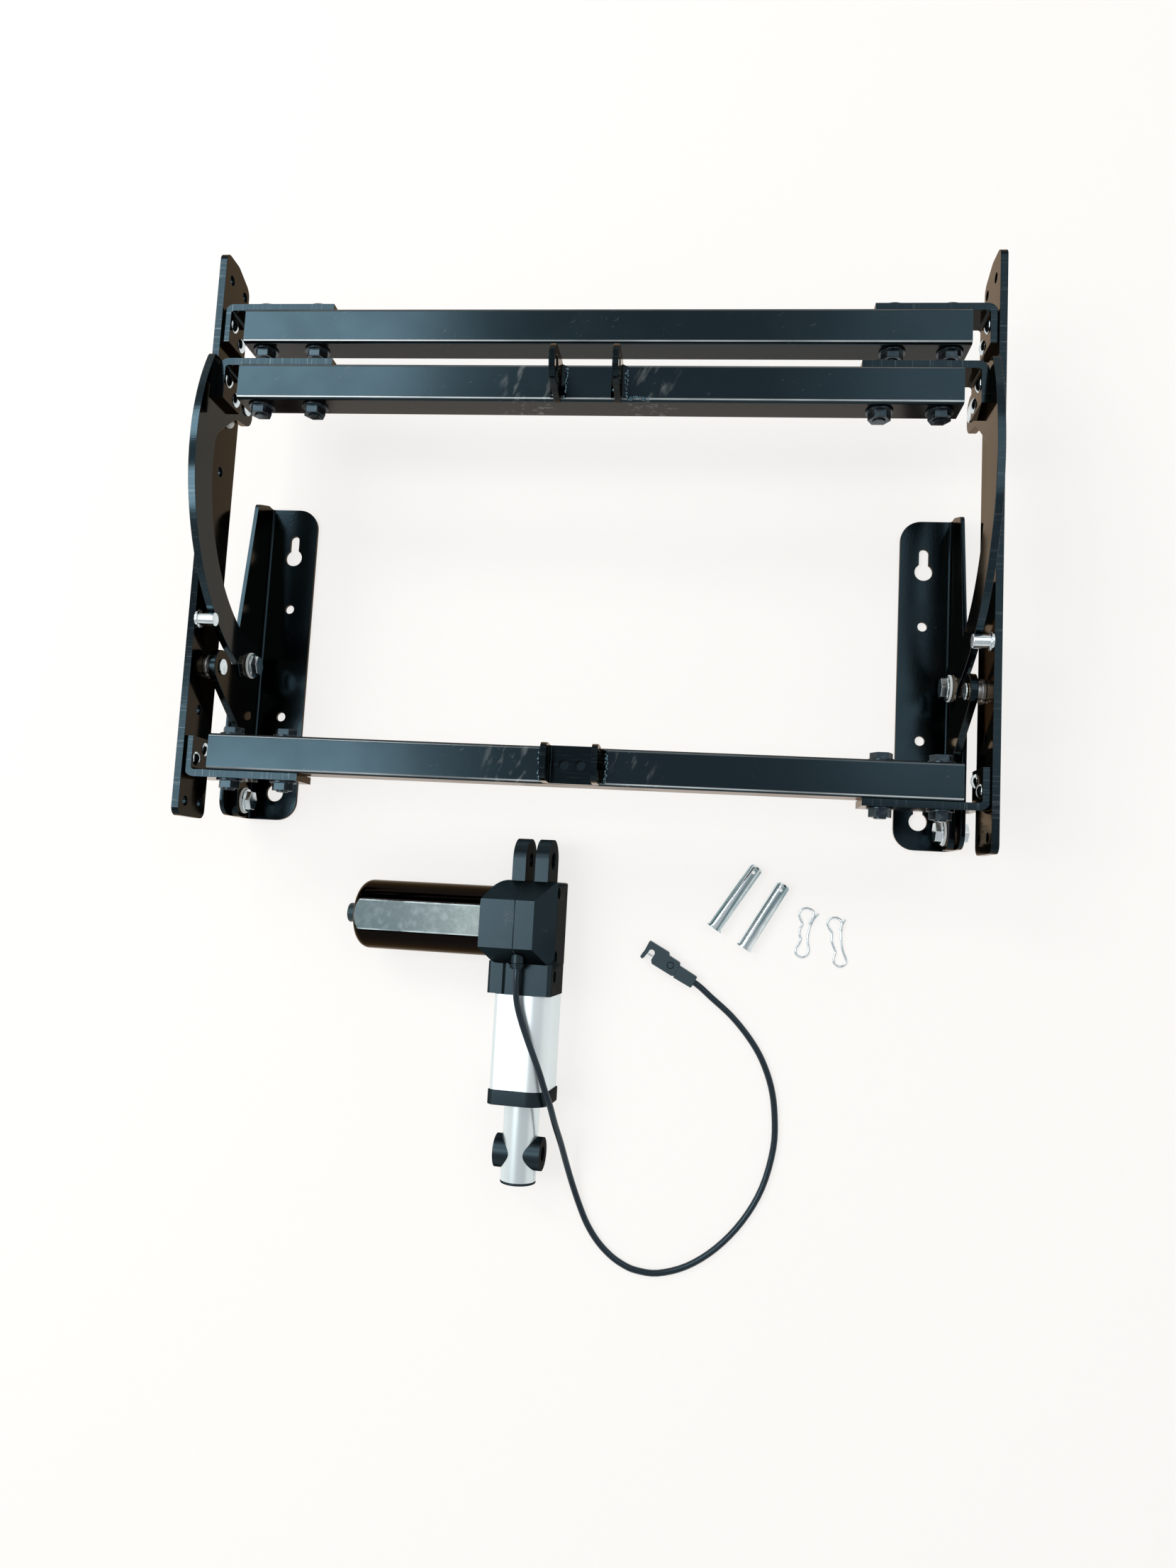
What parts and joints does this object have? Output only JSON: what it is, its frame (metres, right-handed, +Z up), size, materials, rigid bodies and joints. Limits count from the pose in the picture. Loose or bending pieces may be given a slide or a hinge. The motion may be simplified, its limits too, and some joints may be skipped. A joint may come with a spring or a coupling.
{
  "type": "sofa bed mechanism",
  "caption": "Sofa bed lift linkage: rails on folding arms and links over floor brackets, joined by square cross tubes, with a loose linear actuator, its cord, clevis pins and clips.",
  "frame": {"origin": "centre of the box's bottom face, cord and connector left out", "axes": "+Z up; +Y from the actuator to the far ends of the rails; +X to the right"},
  "size_m": [0.547, 0.7111, 0.169],
  "materials": {
    "gloss_black_paint": "gloss black paint on laser-cut and folded steel",
    "motor_black_paint": "gloss black paint with a satin band",
    "black_oxide_steel": "satin black bolts and nuts",
    "zinc_plated_steel": "bright zinc plate",
    "bushing_steel": "turned steel",
    "white_nylon": "white nylon",
    "black_washer_plastic": "black plastic washer",
    "black_plastic": "satin blue-black moulded plastic with a fine grain",
    "anodised_aluminium": "satin anodised aluminium",
    "copper_winding": "varnished copper winding",
    "black_cord": "smooth black sheath"
  },
  "bodies": {
    "base": {"left_base_bracket": "gloss_black_paint", "right_base_bracket": "gloss_black_paint", "base_pivot_bolts": "zinc_plated_steel", "base_pivot_nuts": "zinc_plated_steel", "nylon_washers": "white_nylon", "spacer_washers": "zinc_plated_steel", "gearbox_motor_half": "black_plastic", "gearbox_cover_half": "black_plastic", "cover_screws": "bushing_steel", "motor_can": "motor_black_paint", "motor_end_bearing": "bushing_steel", "motor_magnets": "bushing_steel", "actuator_tube": "anodised_aluminium", "tube_end_cap": "black_plastic", "screw_bearing": "bushing_steel", "cord_grommet": "black_plastic", "power_cord": "black_cord", "connector_tail": "black_plastic", "connector_hook": "black_plastic", "connector_contact": "zinc_plated_steel", "clevis_pins": "zinc_plated_steel", "r_clips": "zinc_plated_steel"},
    "motor_rotor": {"motor_armature": "copper_winding", "motor_worm": "bushing_steel"},
    "screw": {"lead_screw": "bushing_steel", "worm_wheel": "white_nylon"},
    "rod": {"actuator_rod": "anodised_aluminium", "drive_nut": "white_nylon", "rod_end_plug": "black_plastic", "rod_bushes": "black_plastic"},
    "arm_frame": {"left_arm": "gloss_black_paint", "right_arm": "gloss_black_paint", "arm_cross_tube": "gloss_black_paint", "arm_corner_brackets": "gloss_black_paint", "arm_bracket_rivets": "zinc_plated_steel", "arm_tube_bolts": "black_oxide_steel", "arm_tube_nuts": "black_oxide_steel", "actuator_ears": "gloss_black_paint"},
    "seat_frame": {"left_rail": "gloss_black_paint", "right_rail": "gloss_black_paint", "front_cross_tube": "gloss_black_paint", "rear_cross_tube": "gloss_black_paint", "rail_corner_brackets": "gloss_black_paint", "rail_bracket_rivets": "zinc_plated_steel", "front_tube_bolts": "black_oxide_steel", "rear_tube_bolts": "black_oxide_steel", "rail_tube_nuts": "black_oxide_steel", "rod_bracket": "gloss_black_paint", "stop_pins": "zinc_plated_steel", "guide_buttons": "white_nylon", "arm_pivot_pins": "zinc_plated_steel", "arm_pivot_bushings": "bushing_steel", "arm_pivot_washers": "black_washer_plastic", "link_pivot_rivets": "zinc_plated_steel"},
    "left_link_body": {"left_link": "gloss_black_paint", "left_link_pin": "zinc_plated_steel", "left_link_bushing": "bushing_steel"},
    "right_link_body": {"right_link": "gloss_black_paint", "right_link_pin": "zinc_plated_steel", "right_link_bushing": "bushing_steel"}
  },
  "joints": [
    {"name": "arm_lift", "type": "hinge", "parent": "base", "child": "arm_frame", "pos_m": [0, 0.03895, 0.036], "axis": [1, 0, 0], "range_deg": [0, 60]},
    {"name": "seat_tilt", "type": "hinge", "parent": "arm_frame", "child": "seat_frame", "pos_m": [0, 0.21995, 0.081], "axis": [1, 0, 0], "range_deg": [-33.4, 0]},
    {"name": "left_link_swing", "type": "hinge", "parent": "base", "child": "left_link_body", "pos_m": [-0.2585, -0.06205, 0.027], "axis": [1, 0, 0], "range_deg": [0, 66.5]},
    {"name": "right_link_swing", "type": "hinge", "parent": "base", "child": "right_link_body", "pos_m": [0.2585, -0.06205, 0.027], "axis": [1, 0, 0], "range_deg": [0, 66.5]},
    {"name": "motor_spin", "type": "hinge", "parent": "base", "child": "motor_rotor", "pos_m": [-0.09389, -0.14085, 0.03201], "axis": [0.9945, 0, 0.1045], "range_deg": [0, 72000]},
    {"name": "screw_spin", "type": "hinge", "parent": "base", "child": "screw", "pos_m": [-0.0327, -0.14085, 0.02386], "axis": [0, -1, 0], "range_deg": [0, 3600.1]},
    {"name": "rod_slide", "type": "slide", "parent": "base", "child": "rod", "axis": [0, -1, 0], "range_m": [0, 0.05]}
  ],
  "couplings": [
    {"joint": "seat_tilt", "follows": "arm_lift", "ratio": -0.5554},
    {"joint": "left_link_swing", "follows": "arm_lift", "ratio": 1.106},
    {"joint": "right_link_swing", "follows": "arm_lift", "ratio": 1.106},
    {"joint": "screw_spin", "follows": "motor_spin", "ratio": 0.05},
    {"joint": "rod_slide", "follows": "motor_spin", "m_per_rad": 0.000039788}
  ]
}
